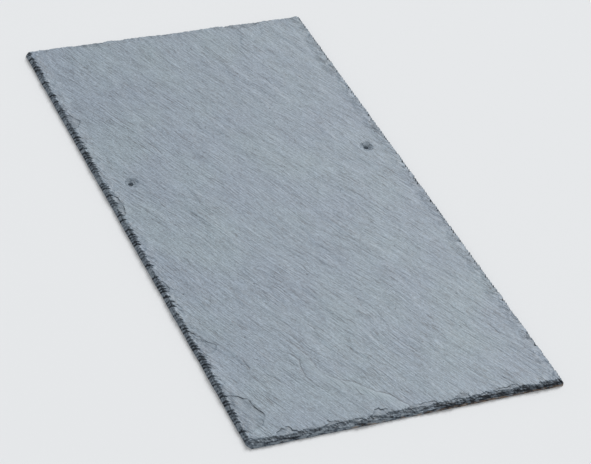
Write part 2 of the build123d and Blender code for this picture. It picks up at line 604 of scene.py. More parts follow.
def read_marks(points):
    """At each point: how deep the long ledge, the hairlines and the pits are, and their lips: painted
    shade at the ledge's foot, along the hairlines and in the pits, and a painted highlight beside the
    ledge's top.
    """
    depth, lip = np.zeros(len(points)), np.zeros(len(points))
    near, beyond, along = beside(points, LEDGE, 2 * LEDGE_FADE * MM)
    beyond = beyond + ripples(points[near], 6.0, 0.7) * LEDGE_SWAY * MM
    strength = smooth(along * 1.6) * (0.75 + 0.5 * ripples(points[near], 14.0, 3.7))
    fall = smooth(beyond / (LEDGE_SLOPE * MM) + 1) * smooth(1 - beyond / (LEDGE_FADE * MM))
    depth[near] = LEDGE_DEPTH * MM * strength * fall
    # Painted shade at the foot of the ledge's step, and a painted highlight on the band beside its top
    foot = np.exp(-(((beyond - LEDGE_FOOT * MM) / (1.3 * LIP_SHADE)) ** 2)) * -LEDGE_SHADE
    painted_light = smooth((beyond / MM + LEDGE_HIGHLIGHT_WIDTH) / 4) * smooth(-beyond / MM) * LEDGE_HIGHLIGHT
    lip[near] = (foot + painted_light) * strength
    for corners in HAIRLINES:
        near, off, along = beside(points, corners, NEARBY)
        off = off + ripples(points[near], 2.5, corners[0][0]) * HAIRLINE_SWAY * MM
        line = np.exp(-((off / LIP_SHADE) ** 2)) * smooth(5 * along) * smooth(5 - 5 * along)
        depth[near] += HAIRLINE_DEPTH * MM * line
        # Painted shade along the hairline
        lip[near] -= line * HAIRLINE_SHADE
    for x, y in PITS:
        away = np.linalg.norm(points - np.array((x, y)) * MM, axis=1) / (PIT_RADIUS * MM)
        spot = smooth(1.4 - away)
        depth += PIT_DEPTH * MM * spot
        # Painted shade in each pit
        lip -= spot
    return depth, lip


def nail_places():
    """The two nail holes, in metres from the left end of the tail."""
    return [
        np.array((NAIL_IN * MM, NAIL_UP * MM)),
        np.array((WIDTH - NAIL_IN * MM, NAIL_UP * MM)),
    ]


def bed_outline(pitch):
    """Points round the arris of the bed, with its nipped corners, counter-clockwise."""
    wide, long = WIDTH, LENGTH
    nips = (NIP_TAIL_LEFT, NIP_TAIL_RIGHT, NIP_HEAD_RIGHT, NIP_HEAD_LEFT)
    (ax, ay), (bx, by), (cx, cy), (dx, dy) = ((x * MM, y * MM) for x, y in nips)
    corners = np.array(
        (
            (ax, 0), (wide - bx, 0), (wide, by), (wide, long - cy),
            (wide - cx, long), (dx, long), (0, long - dy), (0, ay),
        )
    )
    points = []
    for start, end in zip(corners, np.roll(corners, -1, axis=0)):
        count = max(1, round(np.linalg.norm(end - start) / pitch))
        points += [start + (end - start) * step / count for step in range(count)]
    return np.array(points)


RING_POINTS = 36  # the fewest points on a ring


def rings(centre, radii, pitch):
    """Points on circles round a centre, about as far apart as the pitch at each radius."""
    points = []
    for index, radius in enumerate(radii):
        count = max(RING_POINTS, round(2 * math.pi * radius / pitch))
        turns = 2 * math.pi * (np.arange(count) + 0.5 * (index % 2)) / count
        points.append(centre + radius * np.stack((np.cos(turns), np.sin(turns)), axis=1))
    return points


def lattice(pitch):
    """Rows of points over the slate in triangles, and the coarsest step each one belongs to."""
    rows = int(LENGTH / (pitch * math.sqrt(0.75))) + 1
    columns = int(WIDTH / pitch) + 1
    row, column = np.meshgrid(np.arange(rows), np.arange(-rows // 2, columns), indexing="ij")
    x = (column + row / 2) * pitch
    y = row * pitch * math.sqrt(0.75)
    step = np.full(x.shape, 1)
    for coarser in (2, 4, 8, 16):
        step[(row % coarser == 0) & (column % coarser == 0)] = coarser
    kept = (x > 0) & (x < WIDTH) & (y < LENGTH)
    return np.stack((x[kept], y[kept]), axis=1), step[kept]


def edge_distance(points):
    """How far each point is from the nearest side, tail or head."""
    x, y = points[:, 0], points[:, 1]
    return np.minimum(np.minimum(x, WIDTH - x), np.minimum(y, LENGTH - y))


RIM_STEP, FACE_STEP, BED_STEP = 2, 4, 16  # how many times wider than the finest the meshes are
RIM_BAND = 9 * MM  # how far in from the edge the rim's mesh reaches
BREAK_SPREAD = 1.4  # how many times wider than the break's reach the finest mesh is
LIP_SPREAD = 2.2  # how many of the finest steps it reaches from a lip
LEDGE_SPREAD, HAIRLINE_SPREAD, PIT_SPREAD = 3.5, 2.0, 2.5  # and from these marks
HOLE_PATCH = 10 * MM  # how far round a nail hole the mesh goes in rings


def clear_of_outline(points, room):
    """Which points keep that room from the edges, the nipped corners and the nail holes."""
    x, y = points[:, 0], points[:, 1]
    clear = edge_distance(points) > room
    for corner, (nip_x, nip_y) in (
        ((0, 0), NIP_TAIL_LEFT),
        ((WIDTH, 0), NIP_TAIL_RIGHT),
        ((WIDTH, LENGTH), NIP_HEAD_RIGHT),
        ((0, LENGTH), NIP_HEAD_LEFT),
    ):
        along = abs(x - corner[0]) / (nip_x * MM) + abs(y - corner[1]) / (nip_y * MM)
        clear &= along > 1 + room / (min(nip_x, nip_y) * MM)
    for centre in nail_places():
        clear &= np.linalg.norm(points - centre, axis=1) > HOLE_PATCH
    return clear


def face_points(sheet, leaves):
    """The points inside the face: finest along the break and the lips, and wide elsewhere."""
    pitch = sheet.finest
    points, step = lattice(pitch)
    x, y = points[:, 0], points[:, 1]
    wanted = np.where(edge_distance(points) < RIM_BAND, RIM_STEP, FACE_STEP)
    for distance, reach in (
        (x, sheet.left_reach),
        (WIDTH - x, sheet.right_reach),
        (y, sheet.tail_reach),
        (LENGTH - y, sheet.head_reach),
    ):
        wanted[distance < BREAK_SPREAD * reach] = 1
    for loop, _, _ in leaves:
        near = in_box(points, loop, NEARBY) & (step < wanted)
        if near.any():
            at_lip = np.zeros(len(points), bool)
            at_lip[near] = abs(inside_by(points[near], loop)) < LIP_SPREAD * pitch
            wanted[at_lip] = 1
    for corners, reach in ((LEDGE, LEDGE_SPREAD), *((line, HAIRLINE_SPREAD) for line in HAIRLINES)):
        near, off, _ = beside(points, corners, reach * pitch)
        wanted[np.flatnonzero(near)[abs(off) < reach * pitch]] = 1
    for pit in PITS:
        wanted[np.linalg.norm(points - np.array(pit) * MM, axis=1) < PIT_SPREAD * pitch] = 1
    kept = (step >= wanted) & clear_of_outline(points, pitch)
    return points[kept]


def triangles(points, loops):
    """The triangles that fill the first loop of points and leave the other loops open.

    A triangle with an edge that neither another one nor a loop shares is a stray, and is dropped.
    """
    edges = []
    for loop in loops:
        edges += [(int(a), int(b)) for a, b in zip(loop, np.roll(loop, -1))]
    flat = [Vector(point) for point in points]
    made, _, faces, came_from, _, _ = delaunay_2d_cdt(flat, edges, [], 1, 1e-9, True)
    if len(made) != len(points):
        raise RuntimeError("two points of the slate's mesh fall together")
    faces = np.array([[came_from[i][0] for i in face] for face in faces])
    middles = points[faces].mean(1)
    for centre in nail_places():
        kept = np.linalg.norm(middles - centre, axis=1) > HOLE_RADIUS * MM
        faces, middles = faces[kept], middles[kept]
    total = len(points)
    rims = [loop * total + np.roll(loop, -1) for loop in loops]
    rims += [np.roll(loop, -1) * total + loop for loop in loops[1:]]
    stray = np.ones(1, bool)
    while stray.any():
        ahead = np.roll(faces, -1, axis=1)
        partners = (ahead * total + faces).ravel()
        stray = ~np.isin(faces * total + ahead, np.concatenate((partners, *rims))).all(axis=1)
        faces = faces[~stray]
    return faces


CRATER_WAVER = 0.30  # how far a crater's rim wavers, as a share of its radius
CRATER_BENDS = 1.6  # and how often
TERRACE = 0.11  # how high the terraces in a crater are, as a share of its depth
TERRACES = 13  # how closely they follow each other


def crater(points):
    """How deep the spalled craters are at each point, and how near the punched edge it is."""
    depth = np.zeros(len(points))
    fresh = np.zeros(len(points))
    for number, centre in enumerate(nail_places()):
        away = points - centre
        radius = np.linalg.norm(away, axis=1)
        for index in np.flatnonzero(radius < 2 * CRATER_RADIUS * MM):
            x, y = away[index] / max(radius[index], 1e-9)
            bend = (CRATER_BENDS * x, CRATER_BENDS * y, 5.0 + number)
            waver = noise.fractal(bend, 0.7, 2.0, 4)
            rim = CRATER_RADIUS * MM * (1 + CRATER_WAVER * waver)
            share = (rim - radius[index]) / (rim - HOLE_RADIUS * MM)
            if share > 0:
                terrace = TERRACE * math.sin(TERRACES * share + 9 * waver)
                depth[index] = CRATER_DEPTH * MM * min(1.0, max(0.0, share**0.8 + terrace * share))
                fresh[index] = min(1.0, 3 * share)
    return depth, fresh


WALL_ROWS = (0.0, 0.13, 0.26, 0.36, 0.45, 0.54, 0.63, 0.72, 0.81, 0.9, 1.0)  # shares of the rim
BORE_ROWS = (0.0, 0.35, 0.7, 1.0)
RIM_PITCH = 1.5  # how many times wider than the finest the points along the rim are
HOLE_RINGS = (2.5, 3.0, 3.6, 4.3, 5.0, 5.8, 6.6, 7.5, 8.6)


class Sheet:
    """The slate's mesh as it grows: its points, what is known of each, and its faces."""

    def __init__(self):
        self.points = []
        self.known = {"wall": [], "leaf": [], "lip": [], "fresh": []}
        self.faces = []
        self.count = 0

    def add(self, plan, height, **known):
        """Adds points by their places in plan and their heights, and returns their numbers."""
        total = len(plan)
        self.points.append(np.column_stack((plan, np.broadcast_to(height, total))))
        for key, row in self.known.items():
            row.append(np.broadcast_to(known.get(key, 0.0), total).astype(float))
        numbers = np.arange(self.count, self.count + total)
        self.count += total
        return numbers

    def wrap(self, rows):
        """Adds the faces between closed rows of points, one above the other."""
        for lower, upper in zip(rows, rows[1:]):
            ahead, above = np.roll(lower, -1), np.roll(upper, -1)
            self.faces.append(np.stack((lower, ahead, above), axis=1))
            self.faces.append(np.stack((lower, above, upper), axis=1))

    def mesh(self, name):
        """The finished mesh, moved from the left end of the tail to the part's own place."""
        made = bpy.data.meshes.new(name)
        points = np.concatenate(self.points) + np.array((LOW.x, LOW.y, LOW.z))
        made.from_pydata(points.tolist(), [], np.concatenate(self.faces).tolist())
        for key, row in self.known.items():
            attribute = made.attributes.new(key, "FLOAT", "POINT")
            attribute.data.foreach_set("value", np.concatenate(row).astype(np.float32))
        made.update()
        return made


def plain_sheet(sheet):
    """The slate before its edges are broken: face, straight walls, bored holes and bed."""
    grown = Sheet()
    leaves = all_leaves()
    outline = bed_outline(RIM_PITCH * sheet.finest)
    holes = [
        rings(centre, [radius * MM for radius in HOLE_RINGS], 2 * sheet.finest)
        for centre in nail_places()
    ]
    plan = np.concatenate(
        [outline] + [circles[0] for circles in holes]
        + [circle for circles in holes for circle in circles[1:]] + [face_points(sheet, leaves)]
    )
    cut, leaf, lip = read_leaves(plan, leaves)
    marked, painted_light = read_marks(plan)
    punched, fresh = crater(plan)
    sunk = np.maximum(cut, punched) + marked * (punched == 0)
    # The marks' painted shade and highlight replace the leaves' where they are stronger
    lip = np.where(abs(painted_light) > abs(lip), painted_light, lip)
    on_rim = np.zeros(len(plan))
    on_rim[: len(outline)] = 0.5  # half wall and half face
    numbers = grown.add(plan, THICKNESS - sunk, wall=on_rim, leaf=leaf, lip=lip, fresh=fresh)
    counts = [len(outline)] + [len(circles[0]) for circles in holes]
    rim, *mouths = np.split(numbers, np.cumsum(counts))[:-1]
    grown.faces.append(triangles(plan, [rim, *mouths]))

    rim_height = THICKNESS - sunk[rim]
    rows = [grown.add(outline, share * rim_height, wall=1.0) for share in WALL_ROWS[:-1]] + [rim]
    grown.wrap(rows)

    bed_plan, bed_numbers, bed_loops = [outline], [rows[0]], [np.arange(len(outline))]
    for mouth, circles in zip(mouths, holes):
        top = THICKNESS - sunk[mouth]
        bore = [
            grown.add(circles[0], share * top, wall=1.0, fresh=1.0) for share in BORE_ROWS[:-1]
        ]
        grown.wrap([mouth, *bore[::-1]])
        start = sum(len(part) for part in bed_plan)
        bed_loops.append(np.arange(start, start + len(circles[0])))
        bed_plan.append(circles[0])
        bed_numbers.append(bore[0])

    points, step = lattice(sheet.finest)
    inner = points[(step >= BED_STEP) & clear_of_outline(points, 2 * sheet.finest)]
    bed_plan.append(inner)
    bed_numbers.append(grown.add(inner, 0.0))
    faces = triangles(np.concatenate(bed_plan), bed_loops)
    grown.faces.append(np.concatenate(bed_numbers)[faces][:, ::-1])
    return grown.mesh("plain_sheet")


GRAIN_BEND = 14  # how far the grain bends aside in its slow curves
GRAIN_WAVER = 1.6  # and in its quick ones


def grain_of(place, angle):
    """The place in the stone's own directions: across the grain, along it, and up."""
    turned = place.node(
        "ShaderNodeVectorRotate", {"rotation_type": "Z_AXIS"}, {"Vector": place, "Angle": 0.0 - angle}
    )
    bend = (place.cloud((120, 120, 120), 4.0, 1.0) - 0.5) * GRAIN_BEND
    waver = (place.cloud((24, 24, 24), 9.0, 2.0) - 0.5) * GRAIN_WAVER
    return turned.moved(bend + waver, 0.0, 0.0)


def stepped(height, levels, softness):
    """A smooth height turned into flat steps, and where the risers between them are."""
    scaled = height * levels
    part = scaled.fraction()
    return (scaled.floor() + part.rise(0.0, softness)) / levels, 1 - part.rise(softness, 2 * softness)


def add_sockets(tree, in_out, kind, titles):
    for title in titles:
        tree.interface.new_socket(title, in_out=in_out, socket_type=kind)


def node_group(name, inputs, outputs, plan):
    """A Geometry Nodes group that turns numbers into numbers, wired as the plan says."""
    tree = bpy.data.node_groups.new(name, "GeometryNodeTree")
    add_sockets(tree, "INPUT", "NodeSocketFloat", inputs)
    add_sockets(tree, "OUTPUT", "NodeSocketFloat", outputs)
    opening = tree.nodes.new("NodeGroupInput")
    results = plan(*(Wire(tree, opening.outputs[title]) for title in inputs))
    ending = tree.nodes.new("NodeGroupOutput")
    for title, wire in zip(outputs, results):
        tree.links.new(wire.socket, ending.inputs[title])
    return tree


STROKE_LEAN = 0.11  # how far a stroke's mark slants, in strokes for each millimetre of height
STROKE_TRAIL = 0.22  # and for each millimetre in from the edge
STROKE_WANDER = 1.5  # how many strokes the marks wander from an even pitch


def tooth_of(distance, run, height, pitch, seed):
    """How deep in a tooth mark a place is: 0 on the ridges, and up to 1.45 between them."""
    spot = distance.vector(run, 0.0, 0.0)
    wander = (spot.cloud((11, 1, 1), seed, 2.0) - 0.5) * STROKE_WANDER
    strokes = run / pitch + wander + height * STROKE_LEAN + distance * STROKE_TRAIL
    inner = strokes.fraction()
    return (inner * (1 - inner) * 5 - 0.25).at_least(0.0) * (strokes.floor().chance(seed) * 1.3 + 0.15)


BREAK_INPUTS = ("Distance", "Run", "Height", "Reach", "Depth", "Layer", "Pitch", "Bite", "Seed")


def broken_face(distance, run, height, reach, depth, layer, pitch, bite, seed):
    """How deep the face has broken away beside one edge, and where its layers step down."""
    spot = distance.vector(run, distance, 0.0)

    # A slope from the edge up to the face, wider in places, and deepest where a tooth struck
    broad = spot.cloud((24, 20, 1), seed, 2.0) * 2.6 - 0.4
    struck = 1 - bite * (1 - tooth_of(distance, run, height, pitch, seed)).at_least(-0.2)
    slope = (1 - distance / (reach * broad.at_least(0.35) * struck.at_least(0.15))) * depth * struck

    # Chips of two sizes and crumbs that fell from it, fewer and shallower further in
    large = (0.46 - spot.scoops((13, 6.0, 1), seed + 3.0)) * 2.4
    small = (0.50 - spot.scoops((4.6, 2.8, 1), seed + 5.0)) * 1.2
    crumbs = (spot.cloud((2.2, 1.8, 1), seed + 7.0, 2.0) - 0.5) * 0.9
    fallen = slope + (large + small + crumbs) * (1 - distance / 16).at_least(0.0) * (1 - bite * 0.45)

    # What fell, turned into flat steps from one layer of the stone to the next
    jitter = spot.cloud((12, 6, 1), seed + 8.0, 1.0) * 1.5
    scaled = fallen / layer + jitter
    part = scaled.fraction()
    sink = ((scaled.floor() + part.rise(0.32, 0.68) - jitter) * layer).at_least(0.0)
    riser = (1 - (part - 0.5).size() * 2).rise(0.35, 0.8) * (fallen / layer).rise(0.2, 0.6)
    return sink.at_most(depth * 1.25), riser


STROKE_INPUTS = (
    "Distance", "Run", "Height", "Level", "Broken", "Pitch", "Hollow", "Raggedness", "Layering",
    "Lean", "Seed",
)
LAYER = 0.75  # thickness of the layers that stand out on the edges


def tooth_marks(distance, run, height, level, broken, pitch, hollow, raggedness, layering, lean, seed):
    """How far one edge moves in at a place, and how deep in a tooth mark that place is."""
    spot = distance.vector(run, 0.0, 0.0)

    # Above the sheared band: a hollow for each tooth, and rough stone between them
    tooth = tooth_of(distance, run, height, pitch, seed)
    rough = (spot.cloud((6.5, 1, 1), seed + 3.0, 3.0, 0.65) - 0.42).at_least(-0.25)
    bite = (tooth * hollow + rough * raggedness * 2) * broken ** 0.6

    # Layers, each as thick as LAYER, that stand out from one another
    layer = (height / LAYER + spot.cloud((30, 1, 1), seed + 6.0, 1.0) * 4).floor()
    ledge = distance.vector(run, layer * 7.4, 0.0).cloud((7, 1, 1), seed, 3.0, 0.6) - 0.45
    bite = bite + ledge * layering * 2 * broken.rise(0.0, 0.25)

    # The slow waver of the whole edge, and the slight lean of the sheared band
    crooked = (spot.cloud((22, 1, 1), seed + 12.0, 2.0) - 0.35).at_least(0.0) * 1.1
    sheared = level.at_most(0.22) * 0.9
    shift = (sheared + broken * lean + bite + crooked).at_least(0.0)
    return shift * (1 - distance / 9).at_least(0.0), tooth * distance.rise(5.0, 0.5)


SHEET_SIZES = (
    "left_reach", "right_reach", "tail_reach", "head_reach", "break_depth", "break_layer",
    "sheared_height", "edge_lean", "stroke_pitch", "stroke_hollow", "end_hollow", "raggedness",
    "layering", "end_layering", "swell", "ripple", "tread",
)
SIDE_BITE, END_BITE = 0.85, 0.15  # how far the tooth marks shape the break of the face
FACE_LIFT = 0.26  # brings the highest places of the uneven face up to the full thickness
BED_RISE = 0.22  # how far the bed rises where it is hollow
FLAT_BED = 2.0  # how far in from the edge it stays flat


def titled(name):
    """The name of a setting as the name of a tree's input."""
    return name.replace("_", " ").capitalize()


def relief_sizes(sheet):
    """The numbers that the relief tree takes, with all sizes in millimetres."""
    return {titled(name): getattr(sheet, name) / MM for name in SHEET_SIZES} | {
        "Left": LOW.x / MM,
        "Right": HIGH.x / MM,
        "Tail": LOW.y / MM,
        "Head": HIGH.y / MM,
        "Thickness": THICKNESS / MM,
        "Grain angle": sheet.grain_angle,
        "Seed": float(sheet.seed),
    }


def relief_tree(inputs):
    """The Geometry Nodes tree that breaks the edges of the plain sheet and roughens its faces.

    Its sizes and all its working are in millimetres.
    """
    breaking = node_group("broken_face", BREAK_INPUTS, ("Sink", "Riser"), broken_face)
    marking = node_group("tooth_marks", STROKE_INPUTS, ("Shift", "Notch"), tooth_marks)
    tree = bpy.data.node_groups.new("riven_relief", "GeometryNodeTree")
    tree.is_modifier = True
    add_sockets(tree, "INPUT", "NodeSocketGeometry", ["Geometry"])
    add_sockets(tree, "OUTPUT", "NodeSocketGeometry", ["Geometry"])
    add_sockets(tree, "INPUT", "NodeSocketFloat", inputs)
    add_sockets(tree, "INPUT", "NodeSocketMaterial", ["Stone"])
    group = tree.nodes.new("NodeGroupInput")
    given = {title: Wire(tree, group.outputs[title]) for title in ("Geometry", *inputs, "Stone")}
    start = Wire(tree)

    def apply(node_tree, titles, values):
        """One of the two groups at work on one edge."""
        return start.node("GeometryNodeGroup", {"node_tree": node_tree}, dict(zip(titles, values)))

    place = start.node("GeometryNodeInputPosition").scaled(1 / MM)
    x, y, z = (place.part(axis) for axis in range(3))
    seed, pitch, thickness = given["Seed"], given["Stroke pitch"], given["Thickness"]
    side_cut = (given["Stroke hollow"], given["Layering"], SIDE_BITE)
    end_cut = (given["End hollow"], given["End layering"], END_BITE)
    edges = (
        (x - given["Left"], y, given["Left reach"], side_cut, seed + 7.9),
        (given["Right"] - x, y, given["Right reach"], side_cut, seed + 15.8),
        (y - given["Tail"], x, given["Tail reach"], end_cut, seed + 23.7),
        (given["Head"] - y, x, given["Head reach"], end_cut, seed + 31.6),
    )

    # The uneven face: a slow swell, low steps and ripples along the grain, others for each seed
    grain = grain_of(place.moved(seed * 1700, seed * 900, 0.0), given["Grain angle"])
    swell = place.cloud((160, 160, 160), seed + 2.0, 1.0) * given["Swell"]
    treads, _ = stepped(grain.cloud((30, 170, 100), 8.0, 3.0, 0.5), 7.0, 0.25)
    ripple = grain.cloud((13, 110, 100), 6.0, 2.0, 0.5)
    uneven = swell + ripple * given["Ripple"] + treads * given["Tread"] * 7 - FACE_LIFT
    uneven = uneven.at_least(0.0)

    # The face breaks away beside each edge, and the bed is faintly hollow in places
    breaks = [
        apply(
            breaking, BREAK_INPUTS,
            (distance, run, z, reach, given["Break depth"], given["Break layer"], pitch, bite, own),
        )
        for distance, run, reach, (_, _, bite), own in edges
    ]
    sink, riser = largest(breaks), largest(wire.other("Riser") for wire in breaks)
    nearest = functools.reduce(Wire.at_most, (distance for distance, *_ in edges))
    top = (z / thickness).at_most(1.0).at_least(0.0)
    lifted = (1 - top.rise(0.0, 0.01)) * nearest.rise(FLAT_BED, 12.0)
    bed_rise = grain.cloud((16, 80, 100), 31.0, 2.0).rise(0.35, 0.8) * BED_RISE
    height = z - (uneven + sink) * top + lifted * bed_rise

    # The edges move in and take the face beside them along, but not the bed
    sheared = given["Sheared height"]
    level = (height / thickness).at_least(0.0)
    broken = ((height - sheared) / (thickness - sheared)).at_least(0.0)
    strokes = [
        apply(
            marking, STROKE_INPUTS,
            (distance, run, height, level, broken, pitch, hollow, given["Raggedness"], layering,
             given["Edge lean"], own),
        )
        for distance, run, _, (hollow, layering, _), own in edges
    ]
    from_left, from_right, from_tail, from_head = strokes
    standing = (nearest.rise(1.1, 0.0) + top.rise(0.0, 0.002)).at_most(1.0)
    new_x = x + (from_left - from_right) * standing
    new_y = y + (from_tail - from_head) * standing
    new_place = place.vector(new_x, new_y, height).scaled(MM)

    # What the material needs to know, then the new places and the stone itself
    geometry = given["Geometry"]
    for name, value in (
        ("broken", sink / given["Break depth"]),
        ("riser", riser),
        ("notch", largest(wire.other("Notch") for wire in strokes)),
    ):
        geometry = start.node(
            "GeometryNodeStoreNamedAttribute",
            {"data_type": "FLOAT", "domain": "POINT"},
            {"Geometry": geometry, "Name": name, "Value": value},
        )
    geometry = start.node("GeometryNodeSetPosition", None, {"Geometry": geometry, "Position": new_place})
    geometry = start.node("GeometryNodeRealizeInstances", None, {0: geometry})
    geometry = start.node(
        "GeometryNodeSetMaterial", None, {"Geometry": geometry, "Material": given["Stone"]}
    )
    ending = tree.nodes.new("NodeGroupOutput")
    tree.links.new(geometry.socket, ending.inputs[0])
    return tree


CREASE = math.radians(24)  # sharper bends than this keep their edge


def riven(plain, sheet, stone):
    """The plain sheet after the relief tree, as a mesh of its own."""
    holder = bpy.data.objects.new("plain_sheet", plain)
    bpy.context.scene.collection.objects.link(holder)
    modifier = holder.modifiers.new("riven", "NODES")
    values = relief_sizes(sheet)
    tree = relief_tree(values)
    modifier.node_group = tree
    values["Stone"] = stone
    for socket in tree.interface.items_tree:
        if socket.in_out == "INPUT" and socket.name in values:
            modifier[socket.identifier] = values[socket.name]
    bpy.context.view_layer.update()
    evaluated = holder.evaluated_get(bpy.context.evaluated_depsgraph_get())
    made = bpy.data.meshes.new_from_object(evaluated)
    holder.modifiers.remove(modifier)
    bpy.data.objects.remove(holder)
    made.name = "riven_slate"
    made.shade_smooth()
    made.set_sharp_from_angle(angle=CREASE)
    return made


def face_finish(place, speck, known, sheet, finish):
    """The weathered face: its colour, and the height of its fine relief."""
    grain = grain_of(place, sheet.grain_angle)
    x, y = place.part(0), place.part(1)
    from_side, from_end = HIGH.x / MM - x.size(), HIGH.y / MM - y.size()

    # Threads, bands and grit along the grain, slow patches, and pits
    fine = grain.cloud((1.5, 22, 100), 33.0, 2.0, 0.6)
    band = grain.cloud((2.7, 60, 100), 36.0, 2.0, 0.5)
    grit = grain.cloud((0.9, 2.4, 100), 41.0, 2.0, 0.6)
    patch = place.cloud((55, 75, 100), 47.0, 3.0, 0.5)
    pit = place.cloud((3.5, 3.5, 3.5), 53.0, 1.0).rise(0.76, 0.82)

    # Steps where a leaf has lifted: thin hairs, low scarps, and small chips beside the edges
    hair_steps, hair = stepped(grain.cloud((5.5, 70, 100), 14.0, 3.0, 0.5), 5.0, 0.08)
    hair_where = grain.cloud((12, 24, 100), 18.0, 2.0).rise(0.40, 0.66)
    scarp_steps, scarp = stepped(grain.cloud((19, 170, 100), 22.0, 3.0, 0.5), 8.0, 0.07)
    scarp_where = grain.cloud((30, 55, 100), 27.0, 2.0).rise(0.50, 0.62)
    chip_steps, chip = stepped(grain.cloud((5.5, 17, 100), 77.0, 2.0, 0.5), 7.0, 0.13)
    chip_where = (from_side.rise(17.0, 3.0) + from_end.rise(15.0, 3.0) * 0.8).at_most(1.0)
    chip_where = chip_where * place.cloud((14, 14, 100), 79.0, 2.0).rise(0.38, 0.54)

    # Where the mesh carries a painted highlight, on the lit side of a lip and beside the ledge, the face
    # is paler, greener and less streaked
    lip = known["lip"]
    lip_highlight = lip.at_least(0.0)
    green = (patch.rise(0.30, 0.80) + lip_highlight * 2).at_most(1.0)
    colour = place.colour(finish.face_colour).toward(finish.face_colour_green, green)
    streaks = (fine - 0.5) * 1.05 + (band - 0.5) * 0.05 + (speck - 0.5) * 0.75 + (grit - 0.5) * 1.45
    tone = 1 + streaks * (1 - lip_highlight * 2.5).at_least(0.4) + (patch - 0.5) * 0.10 + lip_highlight * 0.35
    # Painted shade: the face is darkened along the hair, scarp and chip steps, where the lips are minus,
    # in pits, on the break's risers and in the tooth marks
    in_notch = known["notch"] * known["broken"].rise(0.0, 0.4)
    for mark, darkening in (
        (hair * hair_where, 0.42),
        (scarp * scarp_where, 0.20),
        (lip.at_most(0.0), -0.66),
        (pit, 0.4),
        (known["riser"], 0.55),
        (in_notch, 0.45),
        (chip * chip_where, 0.52),
    ):
        tone = tone * (1 - mark * darkening)
    roughened = known["leaf"] * speck.rise(0.35, 0.6) * 0.5
    colour = colour.scaled(tone).toward(finish.broken_colour, roughened)

    height = (hair_steps * (hair_where * 0.6 + 0.3) + scarp_steps * (scarp_where + 0.3)) * 0.34
    height = height + chip_steps * chip_where * 1.1
    height = height + fine * 0.27 + band * 0.08 + grit * 0.05 + speck * 0.08 - pit * 0.15
    return colour, height


def edge_finish(place, known, finish):
    """The broken edges: their colour, the height of their relief, and where the tail is painted in
    shade.
    """
    x, y, z = (place.part(axis) for axis in range(3))
    from_side, from_end = HIGH.x / MM - x.size(), HIGH.y / MM - y.size()
    at_side = from_side.rise(9.0, 4.0)
    at_tail = (y - LOW.y / MM).rise(9.0, 0.0)
    # Painted shade on the right part of the tail
    shaded_tail = at_tail * x.rise(0.0, 38.0)

    # Shells that the blows left, facets, thin layers and crumbs
    climb = z + from_side.at_most(from_end) * 0.7
    run = x + (y - x) * from_end.maths("GREATER_THAN", from_end, from_side)
    shells = place.vector(run + climb * 1.6, climb, 0.0).scoops((8.0, 2.1, 1), 73.0)
    struck = place.vector(x + y + z * 0.8, z, 0.0).cloud((1.5, 3.5, 1), 58.0, 3.0, 0.55)
    facet = place.cloud((5, 5, 2.2), 59.0, 2.0, 0.5)
    layers = place.cloud((8, 8, 0.55), 61.0, 4.0, 0.6)
    crumbs = place.cloud((2.0, 2.0, 1.2), 67.0, 4.0, 0.65)

    # How pale the stone is, from the bottom of a crevice at 0.25 up to a bruise at 0.72: its own
    # mottling, with painted shade on the risers, in the tooth hollows against paler bruised tooth
    # ridges, and on the right of the tail; the darkest places go toward the painted shade colour
    stone_tone_and_shade = 0.53 + (0.42 - shells) * (0.62 - at_side * 0.42)
    stone_tone_and_shade = stone_tone_and_shade + (struck - 0.5) * 0.28 + (facet - 0.5) * 0.52
    stone_tone_and_shade = stone_tone_and_shade + (layers - 0.5) * 0.32 + (crumbs - 0.5) * 0.42 - known["riser"] * 0.12
    stone_tone_and_shade = stone_tone_and_shade + at_tail * 0.06 - shaded_tail * 0.26
    stone_tone_and_shade = stone_tone_and_shade - (known["notch"] - 0.45) * (at_side * 0.38 + 0.04) + known["fresh"] * 0.06
    deep = stone_tone_and_shade.rise(0.50, 0.25)
    pale = (stone_tone_and_shade + known["broken"] * 0.05).rise(0.51, 0.72)
    colour = place.colour(finish.broken_colour).toward(finish.shadow_colour, deep)
    colour = colour.toward(finish.bruise_colour, pale * 0.85)

    # A broken tan line low on the tail
    stained = place.cloud((12, 12, 3), 71.0, 3.0).rise(0.50, 0.60)
    specks = place.cloud((4.5, 4.5, 1.2), 75.0, 3.0, 0.6)
    rust = at_tail * z.rise(2.6, 0.4) * (stained.at_least(shaded_tail * 0.8) * specks.rise(0.42, 0.56))
    colour = colour.toward(finish.rust_colour, rust * 0.75)
    return colour, struck * 0.6 + facet * 0.8 + layers * 0.7 + crumbs * 0.8, shaded_tail


